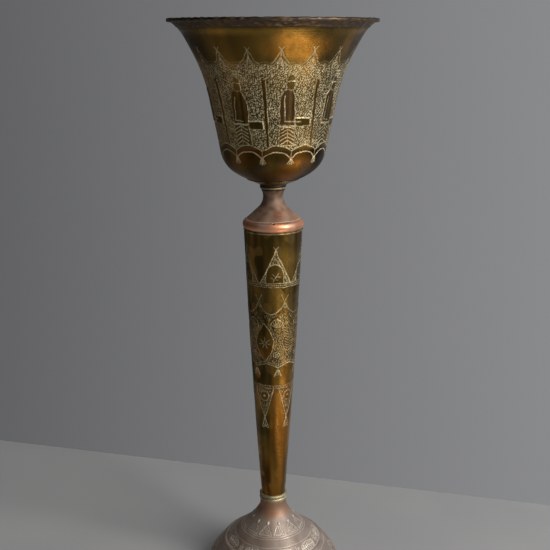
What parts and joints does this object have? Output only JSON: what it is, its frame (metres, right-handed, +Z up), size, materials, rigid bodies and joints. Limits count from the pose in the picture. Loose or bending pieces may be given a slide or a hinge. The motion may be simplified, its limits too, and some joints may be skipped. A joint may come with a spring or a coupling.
{
  "type": "tall pedestal vase",
  "caption": "Tall engraved brass vase: a flared bell cup that screws onto a copper shoulder, on a long tapered stem with a bead ring and a domed copper foot.",
  "frame": {"origin": "centre of the foot's flat underside, on the surface it stands on", "axes": "+Z up along the vase's axis; +Y and +X are alike, since the body is turned about Z"},
  "size_m": [0.2096, 0.2096, 0.6097],
  "materials": {
    "patinated_brass": "satin, darkened by age",
    "bright_brass": "satin",
    "aged_copper": "satin, brown-pink",
    "steel": "dull, oiled",
    "leather": "matte"
  },
  "bodies": {
    "stand": {"foot_dome": "aged_copper", "foot_edge_wire": "steel", "clamp_plate": "patinated_brass", "clamp_washer": "steel", "clamp_nut": "steel", "tie_rod": "steel", "stem_plug": "patinated_brass", "stem_ring": "bright_brass", "stem_tube": "patinated_brass", "stem_cap_disc": "bright_brass", "top_washer": "steel", "top_nut": "steel", "shoulder_band": "aged_copper", "shoulder_cone": "aged_copper", "neck_bush": "patinated_brass"},
    "cup_seat": {"neck_washer": "leather"},
    "cup": {"cup_collar": "patinated_brass", "cup_dish": "patinated_brass", "cup_bowl": "patinated_brass", "rim_wire": "steel", "cup_inner_washer": "bright_brass", "cup_stud": "bright_brass"}
  },
  "joints": [
    {"name": "cup_rise", "type": "slide", "parent": "stand", "child": "cup_seat", "axis": [0, 0, 1], "range_m": [0, 0.008]},
    {"name": "cup_screw", "type": "hinge", "parent": "cup_seat", "child": "cup", "pos_m": [0, 0, 0.44], "axis": [0, 0, 1], "range_deg": [0, 1440]}
  ],
  "couplings": [
    {"joint": "cup_rise", "follows": "cup_screw", "m_per_rad": 0.00031831}
  ]
}
